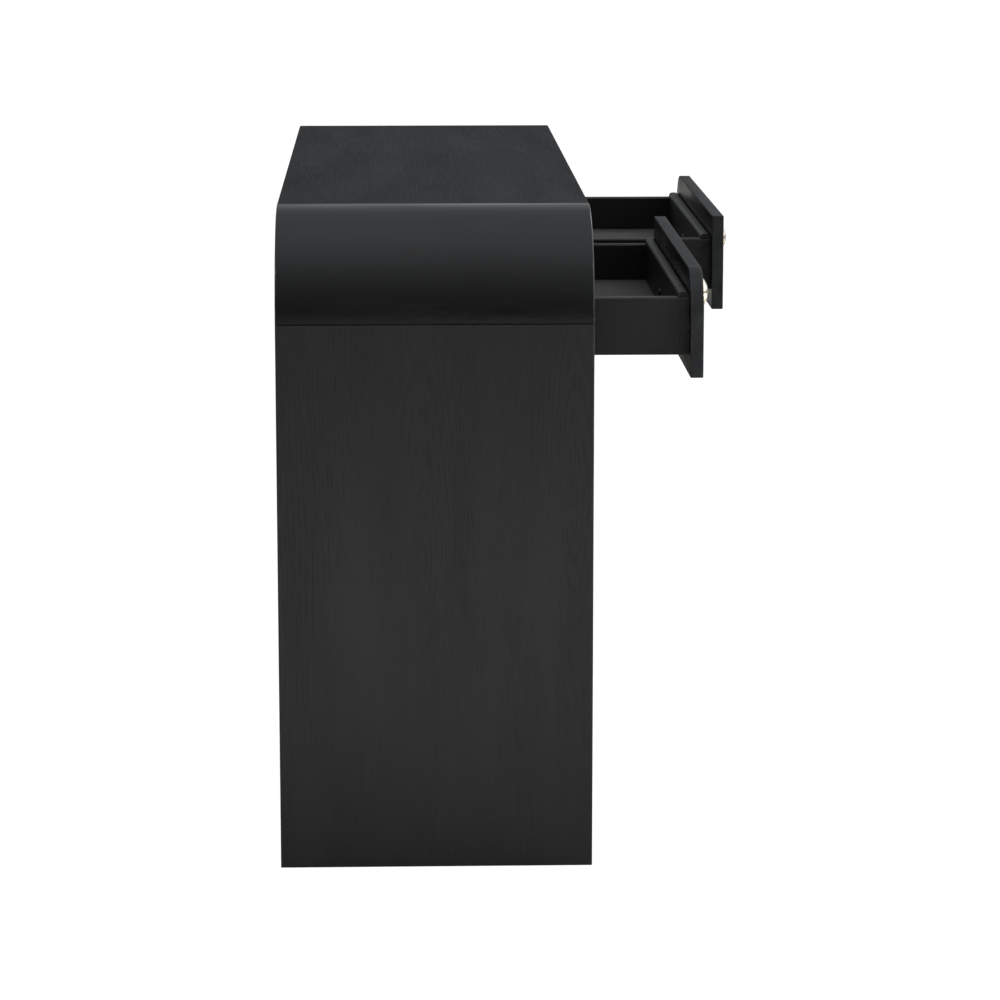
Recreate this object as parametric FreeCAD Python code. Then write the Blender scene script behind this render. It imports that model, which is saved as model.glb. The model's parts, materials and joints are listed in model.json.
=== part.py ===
import FreeCAD, Part
import math
import os

os.makedirs("parts", exist_ok=True)

# Console table with a thick inverted-U shell and two drawers side by side.
# X runs along the table, -Y is the front where the drawers open, and +Z is up.
# The drawers are stored partly open. The origin lies on the floor, in the middle of the
# box that holds the table with its drawers in that place.

# Driving dimensions, in millimetres.
TABLE_LENGTH = 1400.0
TABLE_DEPTH = 380.0
TABLE_HEIGHT = 800.0
SHELL_THICKNESS = 75.0
CORNER_RADIUS = 131.0
LEFT_OPENING = 137.0
RIGHT_OPENING = 218.0
FULL_TRAVEL = 260.0

# Shell construction: two skins with a batten frame between them.
SKIN_THICKNESS = 12.0
BATTEN_WIDTH = 40.0
LEG_RAIL_COUNT = 4
TOP_RIB_COUNT = 6
OUTER_EASING = 2.0
INNER_EASING = 1.0
SEAM_GROOVE = 0.8
DOWEL_RADIUS = 5.0
DOWEL_DEPTH = 30.0
DOWEL_EDGE_DISTANCE = 80.0
DOWELS_PER_SEAM = 4
BORE_CLEARANCE = 0.1
DOWEL_CHAMFER = 1.0

# Floor glides.
GLIDE_HEIGHT = 2.5
GLIDE_RADIUS = 12.0
GLIDE_EASING = 0.8
GLIDE_EDGE_DISTANCE = 62.0
NAIL_RADIUS = 1.5
NAIL_LENGTH = 14.0

# Drawer bay.
BAY_FLOOR_THICKNESS = 12.0
BAY_FLOOR_RISE = 5.0
HOUSING_DEPTH = 6.0
DIVIDER_THICKNESS = 18.0
BACK_PANEL_THICKNESS = 12.0
BACK_PANEL_INSET = 5.0
CORNER_CLEARANCE = 0.5
BEHIND_FRONT_GAP = 1.0

# Drawer fronts.
FRONT_GAP = 3.0
FRONT_HEIGHT = 130.0
FRONT_THICKNESS = 16.0
FRONT_EASING = 1.5
FRONT_CORNER_RADIUS = 2.0
INNER_FRONT_THICKNESS = 14.0
INNER_FRONT_RISE = 6.0
INNER_FRONT_ROUNDING = 5.0

# Drawer boxes.
SIDE_INSET = 26.0
SIDE_DROP = 34.0
SIDE_HEIGHT = 71.0
SIDE_THICKNESS = 13.0
SIDE_ROUNDING = 2.5
BOX_LENGTH = 326.0
BACK_THICKNESS = 12.0
FINGER_COUNT = 5
BOTTOM_THICKNESS = 5.0
BOTTOM_RISE = 17.0
GROOVE_DEPTH = 6.0
TONGUE_LENGTH = 5.5

# Runners, guides, kickers and stops.
RUNNER_WIDTH = 20.0
SLIDING_GAP = 0.3
GUIDE_GAP = 1.0
GUIDE_HEIGHT = 32.0
KICKER_WIDTH = 36.0
KICKER_SPACING = 300.0
KICKER_GAP = 1.5
KICKER_SETBACK = 36.0
STOP_CLEARANCE = 0.4
CLOSING_STOP_WIDTH = 26.0
CLOSING_STOP_HEIGHT = 34.0
STOP_TAB_WIDTH = 34.0
STOP_TAB_THICKNESS = 8.0
STOP_TAB_RISE = 24.0
STOP_TAB_DROP = 30.0
STOP_TAB_ROUNDING = 6.0
STOP_BLOCK_WIDTH = 80.0
STOP_BLOCK_THICKNESS = 20.0
STOP_BLOCK_HEIGHT = 26.0

# Wood screws.
SCREW_RADIUS = 1.9
SCREW_HEAD_RADIUS = 4.0
SCREW_HEAD_HEIGHT = 2.4
SCREW_RECESS_RADIUS = 1.5
SCREW_RECESS_DEPTH = 1.4
FLOOR_SCREW_LENGTH = 30.0
FLOOR_SCREWS_PER_GUIDE = 3
FLOOR_SCREW_EDGE_DISTANCE = 50.0
BACK_SCREW_LENGTH = 30.0
BACK_SCREW_COUNT = 6
BACK_SCREW_EDGE_DISTANCE = 110.0
FRONT_SCREW_LENGTH = 25.0
FRONT_SCREW_EDGE_DISTANCE = 60.0
FRONT_SCREW_RISES = (48.0, 62.0)

# Knobs, with a machine screw from inside the drawer. Reaches are from the drawer front.
KNOB_PROJECTION = 32.0
KNOB_RADIUS = 20.0
KNOB_FACE_RADIUS = 19.0
KNOB_BASE_RADIUS = 9.0
KNOB_BASE_REACH = 1.0
KNOB_COVE_RADIUS = 7.2
KNOB_COVE_REACH = 2.5
KNOB_NECK_RADIUS = 6.5
KNOB_NECK_START = 6.0
KNOB_NECK_END = 12.0
KNOB_FLARE_RADIUS = 11.0
KNOB_FLARE_REACH = 17.5
KNOB_RIM_START = 20.5
KNOB_RIM_MIDDLE = 22.5
KNOB_RIM_END = 24.5
KNOB_BORE_DEPTH = 16.0
KNOB_SCREW_RADIUS = 2.0
KNOB_SCREW_REACH = 12.0
KNOB_SCREW_HEAD_RADIUS = 4.5
KNOB_SCREW_HEAD_HEIGHT = 2.4
KNOB_SCREW_HEAD_EASING = 1.0

# Points nearer than this are the same point.
SAME_POINT = 1e-6

# Levels and planes worked out from the driving dimensions.
BACK_Y = (TABLE_DEPTH + RIGHT_OPENING + KNOB_PROJECTION) / 2
FRONT_Y = BACK_Y - TABLE_DEPTH
END_X = TABLE_LENGTH / 2
TANGENT_X = END_X - CORNER_RADIUS
LEG_INNER_X = END_X - SHELL_THICKNESS
INNER_RADIUS = CORNER_RADIUS - SHELL_THICKNESS
SEAM_Z = TABLE_HEIGHT - CORNER_RADIUS
UNDERSIDE_Z = TABLE_HEIGHT - SHELL_THICKNESS
FRONT_TOP_Z = UNDERSIDE_Z - FRONT_GAP
FRONT_BOTTOM_Z = FRONT_TOP_Z - FRONT_HEIGHT
SIDE_TOP_Z = FRONT_TOP_Z - SIDE_DROP
SIDE_BOTTOM_Z = SIDE_TOP_Z - SIDE_HEIGHT
BAY_FLOOR_Z = FRONT_BOTTOM_Z + BAY_FLOOR_RISE
BAY_FLOOR_TOP_Z = BAY_FLOOR_Z + BAY_FLOOR_THICKNESS
BOX_FRONT = FRONT_THICKNESS
BOX_BACK = BOX_FRONT + BOX_LENGTH
BACK_PANEL_OUTER = TABLE_DEPTH - BACK_PANEL_INSET
BACK_PANEL_INNER = BACK_PANEL_OUTER - BACK_PANEL_THICKNESS
KNOB_Z = FRONT_TOP_Z - FRONT_HEIGHT / 2

UP = FreeCAD.Vector(0, 0, 1)
ALONG = FreeCAD.Vector(1, 0, 0)
BACKWARD = FreeCAD.Vector(0, 1, 0)
CENTRE = FreeCAD.Vector(0, 0, 0)


def from_front(distance):
    """Y of a plane that lies this far behind the table's front edge."""
    return FRONT_Y + distance


def spread(low, high, count):
    """Evenly spaced places from low to high."""
    step = (high - low) / (count - 1)
    return [low + step * index for index in range(count)]


def block(x_low, x_high, depth_low, depth_high, z_low, z_high):
    """Box between two X, two distances behind the front edge and two heights."""
    corner = FreeCAD.Vector(x_low, from_front(depth_low), z_low)
    return Part.makeBox(x_high - x_low, depth_high - depth_low, z_high - z_low, corner)


def on_plan(x, y):
    """Point of an outline seen from above."""
    return FreeCAD.Vector(x, y, 0)


def on_front(x, z):
    """Point of an outline seen from the front, in the plane Y = 0."""
    return FreeCAD.Vector(x, 0, z)


def on_end(y, z):
    """Point of an outline seen from the table's end, in the plane X = 0."""
    return FreeCAD.Vector(0, y, z)


def outline(corners, place):
    """Face of straight edges whose corners (a, b, radius) are rounded by tangent arcs."""
    points = [place(a, b) for a, b, _ in corners]
    spans = []
    for index, (_, _, radius) in enumerate(corners):
        corner = points[index]
        towards_last = (points[index - 1] - corner).normalize()
        towards_next = (points[(index + 1) % len(points)] - corner).normalize()
        half_angle = towards_last.getAngle(towards_next) / 2
        run = radius / math.tan(half_angle)
        start = corner + towards_last * run
        end = corner + towards_next * run
        inward = (towards_last + towards_next).normalize()
        middle = corner + inward * (radius / math.sin(half_angle) - radius)
        spans.append((start, middle, end, radius))
    edges = []
    for index, (start, middle, end, radius) in enumerate(spans):
        if radius > 0:
            edges.append(Part.Arc(start, middle, end).toShape())
        following = spans[(index + 1) % len(spans)][0]
        if end.distanceToPoint(following) > SAME_POINT:
            edges.append(Part.LineSegment(end, following).toShape())
    return Part.Face(Part.Wire(edges))


def cylinder(radius, start, direction, length):
    """Round bar from a point along a direction."""
    return Part.makeCylinder(radius, length, start, direction)


def mirrored(shape):
    """The same piece at the table's other end."""
    return shape.mirror(CENTRE, ALONG)


def fuse_all(shapes):
    """One solid from several that touch or overlap."""
    return shapes[0].fuse(shapes[1:]).removeSplitter()


def drilled(shape, holes):
    """A piece with all its holes cut."""
    return shape.cut(holes) if holes else shape


def export(name, solids):
    """Write one node, made of one solid or of a group of separate solids."""
    group = solids if isinstance(solids, list) else [solids]
    parts = [solid for shape in group for solid in shape.Solids]
    shape = parts[0] if len(parts) == 1 else Part.makeCompound(parts)
    shape.exportStep("parts/" + name + ".step")


# Fasteners.

def wood_screw(head, direction, length):
    """Countersunk screw with its head flush at a point and its shank along a direction."""
    cone = Part.makeCone(SCREW_HEAD_RADIUS, SCREW_RADIUS, SCREW_HEAD_HEIGHT, head, direction)
    shank = cylinder(SCREW_RADIUS, head, direction, length - SCREW_RADIUS)
    tip_start = head + direction * (length - SCREW_RADIUS)
    tip = Part.makeCone(SCREW_RADIUS, 0, SCREW_RADIUS, tip_start, direction)
    recess = Part.makeCone(SCREW_RECESS_RADIUS, 0, SCREW_RECESS_DEPTH, head, direction)
    return fuse_all([cone, shank, tip]).cut(recess)


def screw_hole(head, direction, length):
    """Countersunk hole that the screw sits in, a little larger all round."""
    grown = BORE_CLEARANCE
    cone = Part.makeCone(SCREW_HEAD_RADIUS + grown, SCREW_RADIUS + grown,
                         SCREW_HEAD_HEIGHT, head, direction)
    shank = cylinder(SCREW_RADIUS + grown, head, direction, length + grown)
    return fuse_all([cone, shank])


def dowel(middle, direction):
    """Chamfered wooden pin that reaches the same way into both pieces of a seam."""
    start = middle - direction * DOWEL_DEPTH
    pin = cylinder(DOWEL_RADIUS, start, direction, 2 * DOWEL_DEPTH)
    rims = [edge for edge in pin.Edges if edge.Curve.TypeId == "Part::GeomCircle"]
    return pin.makeChamfer(DOWEL_CHAMFER, rims)


def dowel_bore(middle, direction):
    """Blind hole through the seam for one dowel."""
    reach = DOWEL_DEPTH + BORE_CLEARANCE
    return cylinder(DOWEL_RADIUS + BORE_CLEARANCE, middle - direction * reach,
                    direction, 2 * reach)


def dowel_places():
    """Middles and directions of the dowels at the left corner's two seams."""
    depths = spread(DOWEL_EDGE_DISTANCE, TABLE_DEPTH - DOWEL_EDGE_DISTANCE, DOWELS_PER_SEAM)
    leg_x = -END_X + SHELL_THICKNESS / 2
    top_z = TABLE_HEIGHT - SHELL_THICKNESS / 2
    places = []
    for depth in depths:
        places.append((FreeCAD.Vector(leg_x, from_front(depth), SEAM_Z), UP))
        places.append((FreeCAD.Vector(-TANGENT_X, from_front(depth), top_z), ALONG))
    return places


DOWEL_BORES = [dowel_bore(middle, direction) for middle, direction in dowel_places()]


# Shell.

def seam_groove():
    """V-shaped prism along the left seam between the corner and the end panel."""
    reach = SEAM_GROOVE
    corners = [(-END_X - reach, SEAM_Z + 2 * reach, 0), (-END_X + reach, SEAM_Z, 0),
               (-END_X - reach, SEAM_Z - 2 * reach, 0)]
    face = outline(corners, on_front)
    face.translate(BACKWARD * FRONT_Y)
    return face.extrude(BACKWARD * TABLE_DEPTH)


def left_corner():
    """Thick quarter-round piece between the top and the left leg."""
    low = -END_X
    high = -END_X + SHELL_THICKNESS
    section = outline([(low, FRONT_Y, OUTER_EASING), (high, FRONT_Y, INNER_EASING),
                       (high, BACK_Y, INNER_EASING), (low, BACK_Y, OUTER_EASING)], on_plan)
    section.translate(UP * SEAM_Z)
    pivot = FreeCAD.Vector(-TANGENT_X, 0, SEAM_Z)
    return drilled(section.revolve(pivot, BACKWARD, 90), DOWEL_BORES + [seam_groove()])


def top_panel():
    """Upper skin of the top, with its long edges eased."""
    low = TABLE_HEIGHT - SKIN_THICKNESS
    face = outline([(FRONT_Y, low, 0), (BACK_Y, low, 0), (BACK_Y, TABLE_HEIGHT, OUTER_EASING),
                    (FRONT_Y, TABLE_HEIGHT, OUTER_EASING)], on_end)
    face.translate(ALONG * -TANGENT_X)
    return face.extrude(ALONG * 2 * TANGENT_X)


def top_underside():
    """Lower skin of the top, which roofs the drawer bay."""
    high = UNDERSIDE_Z + SKIN_THICKNESS
    face = outline([(FRONT_Y, UNDERSIDE_Z, INNER_EASING), (BACK_Y, UNDERSIDE_Z, INNER_EASING),
                    (BACK_Y, high, 0), (FRONT_Y, high, 0)], on_end)
    face.translate(ALONG * -TANGENT_X)
    return face.extrude(ALONG * 2 * TANGENT_X)


def top_rail(depth_low):
    """Long batten that closes the top's front or back edge between the skins."""
    return block(-TANGENT_X, TANGENT_X, depth_low, depth_low + BATTEN_WIDTH,
                 UNDERSIDE_Z + SKIN_THICKNESS, TABLE_HEIGHT - SKIN_THICKNESS)


def top_ribs():
    """Cross battens inside the top. The end ones take the corner dowels."""
    holes = DOWEL_BORES + [mirrored(bore) for bore in DOWEL_BORES]
    ribs = []
    for x_low in spread(-TANGENT_X, TANGENT_X - BATTEN_WIDTH, TOP_RIB_COUNT):
        rib = block(x_low, x_low + BATTEN_WIDTH, BATTEN_WIDTH, TABLE_DEPTH - BATTEN_WIDTH,
                    UNDERSIDE_Z + SKIN_THICKNESS, TABLE_HEIGHT - SKIN_THICKNESS)
        ribs.append(drilled(rib, holes))
    return ribs


def left_leg_outer_panel():
    """End panel of the left leg, from the floor glides up to the seam."""
    low = -END_X
    high = -END_X + SKIN_THICKNESS
    face = outline([(low, FRONT_Y, OUTER_EASING), (high, FRONT_Y, 0), (high, BACK_Y, 0),
                    (low, BACK_Y, OUTER_EASING)], on_plan)
    face.translate(UP * GLIDE_HEIGHT)
    return face.extrude(UP * (SEAM_Z - GLIDE_HEIGHT)).cut(seam_groove())


def left_leg_inner_panel():
    """Inner skin of the left leg, with the housing for the bay floor."""
    low = -LEG_INNER_X - SKIN_THICKNESS
    high = -LEG_INNER_X
    face = outline([(low, FRONT_Y, 0), (high, FRONT_Y, INNER_EASING),
                    (high, BACK_Y, INNER_EASING), (low, BACK_Y, 0)], on_plan)
    face.translate(UP * GLIDE_HEIGHT)
    panel = face.extrude(UP * (SEAM_Z - GLIDE_HEIGHT))
    return panel.cut(bay_floor_blank())


def left_leg_stile(depth_low):
    """Upright batten that closes the leg's front or back edge between the skins."""
    return block(-END_X + SKIN_THICKNESS, -LEG_INNER_X - SKIN_THICKNESS, depth_low,
                 depth_low + BATTEN_WIDTH, GLIDE_HEIGHT, SEAM_Z)


def glide_places():
    """Centres of the left leg's two glides, at the leg's lower edge."""
    x = -END_X + SHELL_THICKNESS / 2
    depths = (GLIDE_EDGE_DISTANCE, TABLE_DEPTH - GLIDE_EDGE_DISTANCE)
    return [FreeCAD.Vector(x, from_front(depth), GLIDE_HEIGHT) for depth in depths]


def left_leg_rails():
    """Level battens inside the leg. The top one takes dowels, the bottom one the glides."""
    holes = list(DOWEL_BORES)
    for place in glide_places():
        holes.append(cylinder(NAIL_RADIUS + BORE_CLEARANCE, place, UP,
                              NAIL_LENGTH + BORE_CLEARANCE))
    rails = []
    for z_low in spread(GLIDE_HEIGHT, SEAM_Z - BATTEN_WIDTH, LEG_RAIL_COUNT):
        rail = block(-END_X + SKIN_THICKNESS, -LEG_INNER_X - SKIN_THICKNESS, BATTEN_WIDTH,
                     TABLE_DEPTH - BATTEN_WIDTH, z_low, z_low + BATTEN_WIDTH)
        rails.append(drilled(rail, holes))
    return rails


def glide(place):
    """Round floor glide with an eased rim and a nail that holds it."""
    disc = cylinder(GLIDE_RADIUS, FreeCAD.Vector(place.x, place.y, 0), UP, GLIDE_HEIGHT)
    rim = [edge for edge in disc.Edges if edge.BoundBox.ZMax < GLIDE_HEIGHT / 2]
    nail = cylinder(NAIL_RADIUS, place, UP, NAIL_LENGTH)
    return fuse_all([disc.makeFillet(GLIDE_EASING, rim), nail])


# Drawer bay.

def bay_floor_blank():
    """Bay floor before its screw holes, with its ends in the legs' housings."""
    reach = LEG_INNER_X + HOUSING_DEPTH
    return block(-reach, reach, FRONT_THICKNESS + BEHIND_FRONT_GAP, BACK_PANEL_INNER,
                 BAY_FLOOR_Z, BAY_FLOOR_TOP_Z)


def floor_screw_heads():
    """Heads of the screws that hold the guides, at the bay floor's lower face."""
    low = FRONT_THICKNESS + FLOOR_SCREW_EDGE_DISTANCE
    high = BACK_PANEL_INNER - FLOOR_SCREW_EDGE_DISTANCE
    heads = []
    for x_low, x_high in guide_spans().values():
        for depth in spread(low, high, FLOOR_SCREWS_PER_GUIDE):
            heads.append(FreeCAD.Vector((x_low + x_high) / 2, from_front(depth), BAY_FLOOR_Z))
    return heads


def back_screw_heads():
    """Heads of the screws that hold the back panel to the bay floor."""
    edge = LEG_INNER_X - BACK_SCREW_EDGE_DISTANCE
    y = from_front(BACK_PANEL_OUTER)
    z = (BAY_FLOOR_Z + BAY_FLOOR_TOP_Z) / 2
    return [FreeCAD.Vector(x, y, z) for x in spread(-edge, edge, BACK_SCREW_COUNT)]


def bay_floor():
    """Shelf under both drawers."""
    holes = [screw_hole(head, UP, FLOOR_SCREW_LENGTH) for head in floor_screw_heads()]
    holes += [screw_hole(head, -BACKWARD, BACK_SCREW_LENGTH) for head in back_screw_heads()]
    return drilled(bay_floor_blank(), holes)


def back_panel():
    """Panel behind the drawers, rounded at the top to follow the shell."""
    reach = LEG_INNER_X - CORNER_CLEARANCE
    face = outline([(-reach, FRONT_BOTTOM_Z, 0), (reach, FRONT_BOTTOM_Z, 0),
                    (reach, UNDERSIDE_Z, INNER_RADIUS), (-reach, UNDERSIDE_Z, INNER_RADIUS)],
                   on_front)
    face.translate(BACKWARD * from_front(BACK_PANEL_INNER))
    panel = face.extrude(BACKWARD * BACK_PANEL_THICKNESS)
    holes = [screw_hole(head, -BACKWARD, BACK_SCREW_LENGTH) for head in back_screw_heads()]
    return drilled(panel, holes)


def centre_divider():
    """Upright panel between the two drawers."""
    return block(-DIVIDER_THICKNESS / 2, DIVIDER_THICKNESS / 2,
                 FRONT_THICKNESS + BEHIND_FRONT_GAP, BACK_PANEL_INNER,
                 BAY_FLOOR_TOP_Z, UNDERSIDE_Z)


def front_span(side):
    """Lowest and highest X of one drawer's front."""
    far = LEG_INNER_X - FRONT_GAP
    near = FRONT_GAP / 2
    return (-far, -near) if side == "left" else (near, far)


def box_span(side):
    """Lowest and highest X of one drawer's box."""
    low, high = front_span(side)
    return low + SIDE_INSET, high - SIDE_INSET


def guide_spans():
    """Lowest and highest X of each guide, by name, from left to right."""
    left_low, left_high = box_span("left")
    divider = DIVIDER_THICKNESS / 2
    outer = (-LEG_INNER_X, left_low - GUIDE_GAP)
    inner = (left_high + GUIDE_GAP, -divider)
    return {"left_outer": outer, "left_inner": inner,
            "right_inner": (-inner[1], -inner[0]), "right_outer": (-outer[1], -outer[0])}


def drawer_guide(x_low, x_high):
    """Batten beside a drawer's side that keeps it straight."""
    guide = block(x_low, x_high, FRONT_THICKNESS + BEHIND_FRONT_GAP, BACK_PANEL_INNER,
                  BAY_FLOOR_TOP_Z, BAY_FLOOR_TOP_Z + GUIDE_HEIGHT)
    holes = [screw_hole(head, UP, FLOOR_SCREW_LENGTH) for head in floor_screw_heads()]
    return drilled(guide, holes)


def drawer_runner(name, x_low, x_high):
    """Batten under a drawer's side, against the guide and on the drawer's side of it."""
    reaches_right = name in ("left_outer", "right_inner")
    low = x_high if reaches_right else x_low - RUNNER_WIDTH
    return block(low, low + RUNNER_WIDTH, FRONT_THICKNESS + BEHIND_FRONT_GAP, BOX_BACK,
                 BAY_FLOOR_TOP_Z, SIDE_BOTTOM_Z - SLIDING_GAP)


def kickers(side):
    """Two battens above a drawer that stop it tipping when it is pulled out."""
    low, high = box_span(side)
    middle = (low + high) / 2
    solids = []
    for x in (middle - KICKER_SPACING / 2, middle + KICKER_SPACING / 2):
        solids.append(block(x - KICKER_WIDTH / 2, x + KICKER_WIDTH / 2, KICKER_SETBACK,
                            BACK_PANEL_INNER, SIDE_TOP_Z + KICKER_GAP, UNDERSIDE_Z))
    return solids


def closing_stops():
    """Blocks at the back of the bay that each drawer's back meets when it is shut."""
    solids = []
    for side in ("left", "right"):
        low, high = box_span(side)
        for x_low in (low + SIDE_THICKNESS, high - SIDE_THICKNESS - CLOSING_STOP_WIDTH):
            solids.append(block(x_low, x_low + CLOSING_STOP_WIDTH, BOX_BACK + STOP_CLEARANCE,
                                BACK_PANEL_INNER, BAY_FLOOR_TOP_Z,
                                BAY_FLOOR_TOP_Z + CLOSING_STOP_HEIGHT))
    return solids


def pull_out_stops():
    """Blocks under the top that catch each drawer's stop tab at full travel."""
    face = BOX_BACK - FULL_TRAVEL - STOP_CLEARANCE
    solids = []
    for side in ("left", "right"):
        low, high = box_span(side)
        middle = (low + high) / 2
        solids.append(block(middle - STOP_BLOCK_WIDTH / 2, middle + STOP_BLOCK_WIDTH / 2,
                            face - STOP_BLOCK_THICKNESS, face,
                            UNDERSIDE_Z - STOP_BLOCK_HEIGHT, UNDERSIDE_Z))
    return solids


# Drawers, made closed and then moved out to where they are stored.

def knob_axis(side):
    """Point on a knob's axis at the drawer front's outer face."""
    low, high = front_span(side)
    return FreeCAD.Vector((low + high) / 2, FRONT_Y, KNOB_Z)


def knob_screw_bore(side):
    """Clearance hole for the knob's screw through both fronts."""
    return cylinder(KNOB_SCREW_RADIUS + BORE_CLEARANCE, knob_axis(side), BACKWARD,
                    FRONT_THICKNESS + INNER_FRONT_THICKNESS)


def front_screw_heads(side):
    """Heads of the screws that hold the outer front, at the inner front's inside face."""
    low, high = box_span(side)
    y = from_front(BOX_FRONT + INNER_FRONT_THICKNESS)
    heads = []
    for x in (low + FRONT_SCREW_EDGE_DISTANCE, high - FRONT_SCREW_EDGE_DISTANCE):
        for rise in FRONT_SCREW_RISES:
            heads.append(FreeCAD.Vector(x, y, SIDE_BOTTOM_Z + rise))
    return heads


def front_holes(side):
    """All the holes through a drawer's two fronts."""
    holes = [screw_hole(head, -BACKWARD, FRONT_SCREW_LENGTH) for head in front_screw_heads(side)]
    return holes + [knob_screw_bore(side)]


def drawer_front(side):
    """Outer front. Its top corner beside the leg follows the shell's inner curve."""
    low, high = front_span(side)
    shell_curve = INNER_RADIUS - FRONT_GAP
    left_radius = shell_curve if side == "left" else FRONT_CORNER_RADIUS
    right_radius = FRONT_CORNER_RADIUS if side == "left" else shell_curve
    face = outline([(low, FRONT_BOTTOM_Z, FRONT_CORNER_RADIUS),
                    (high, FRONT_BOTTOM_Z, FRONT_CORNER_RADIUS),
                    (high, FRONT_TOP_Z, right_radius), (low, FRONT_TOP_Z, left_radius)], on_front)
    face.translate(BACKWARD * FRONT_Y)
    plate = face.extrude(BACKWARD * FRONT_THICKNESS)
    rims = [edge for edge in plate.Edges if edge.BoundBox.YLength < FRONT_THICKNESS / 2]
    return drilled(plate.makeFillet(FRONT_EASING, rims), front_holes(side))


def inner_front(side):
    """Front of the drawer box, with a rounded top that stands above the sides."""
    low, high = box_span(side)
    top = SIDE_TOP_Z + INNER_FRONT_RISE
    near = from_front(BOX_FRONT)
    far = near + INNER_FRONT_THICKNESS
    face = outline([(near, SIDE_BOTTOM_Z, 0), (far, SIDE_BOTTOM_Z, 0),
                    (far, top, INNER_FRONT_ROUNDING), (near, top, INNER_FRONT_ROUNDING)], on_end)
    face.translate(ALONG * low)
    board = face.extrude(ALONG * (high - low))
    return drilled(board, front_holes(side) + [bottom_groove(side)] + side_fingers(side))


def finger_levels():
    """Lowest heights of the fingers of the corner joint, from the side's lower edge up."""
    pitch = SIDE_HEIGHT / FINGER_COUNT
    return [SIDE_BOTTOM_Z + pitch * index for index in range(FINGER_COUNT)]


def side_fingers(side):
    """Fingers of both sides that reach through the inner front."""
    low, high = box_span(side)
    pitch = SIDE_HEIGHT / FINGER_COUNT
    fingers = []
    for z_low in finger_levels()[::2]:
        for x_low in (low, high - SIDE_THICKNESS):
            fingers.append(block(x_low, x_low + SIDE_THICKNESS, BOX_FRONT,
                                 BOX_FRONT + INNER_FRONT_THICKNESS, z_low, z_low + pitch))
    return fingers


def box_side(side, x_low):
    """Side of the drawer box, with an eased top edge and fingers at its front end."""
    high = x_low + SIDE_THICKNESS
    face = outline([(x_low, SIDE_BOTTOM_Z, 0), (high, SIDE_BOTTOM_Z, 0),
                    (high, SIDE_TOP_Z, SIDE_ROUNDING), (x_low, SIDE_TOP_Z, SIDE_ROUNDING)],
                   on_front)
    face.translate(BACKWARD * from_front(BOX_FRONT))
    board = face.extrude(BACKWARD * BOX_LENGTH)
    pitch = SIDE_HEIGHT / FINGER_COUNT
    sockets = []
    for z_low in finger_levels()[1::2]:
        sockets.append(block(x_low, high, BOX_FRONT, BOX_FRONT + INNER_FRONT_THICKNESS,
                             z_low, z_low + pitch))
    return drilled(board, sockets + [bottom_groove(side)])


def bottom_slab(side, reach):
    """Level slab between the box's walls that reaches a little way into each of them."""
    low, high = box_span(side)
    return block(low + SIDE_THICKNESS - reach, high - SIDE_THICKNESS + reach,
                 BOX_FRONT + INNER_FRONT_THICKNESS - reach, BOX_BACK - BACK_THICKNESS + reach,
                 SIDE_BOTTOM_Z + BOTTOM_RISE, SIDE_BOTTOM_Z + BOTTOM_RISE + BOTTOM_THICKNESS)


def bottom_groove(side):
    """Space that the grooves for the drawer bottom take out of the walls."""
    return bottom_slab(side, GROOVE_DEPTH)


def box_back(side):
    """Back of the drawer box, between the sides."""
    low, high = box_span(side)
    board = block(low + SIDE_THICKNESS, high - SIDE_THICKNESS, BOX_BACK - BACK_THICKNESS,
                  BOX_BACK, SIDE_BOTTOM_Z, SIDE_TOP_Z)
    return board.cut(bottom_groove(side))


def stop_tab(side):
    """Tab on the drawer's back that stands up and meets the pull-out stop."""
    low, high = box_span(side)
    middle = (low + high) / 2
    bottom = SIDE_TOP_Z - STOP_TAB_DROP
    top = SIDE_TOP_Z + STOP_TAB_RISE
    half = STOP_TAB_WIDTH / 2
    face = outline([(middle - half, bottom, 0), (middle + half, bottom, 0),
                    (middle + half, top, STOP_TAB_ROUNDING),
                    (middle - half, top, STOP_TAB_ROUNDING)], on_front)
    face.translate(BACKWARD * from_front(BOX_BACK))
    return face.extrude(BACKWARD * STOP_TAB_THICKNESS)


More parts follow.
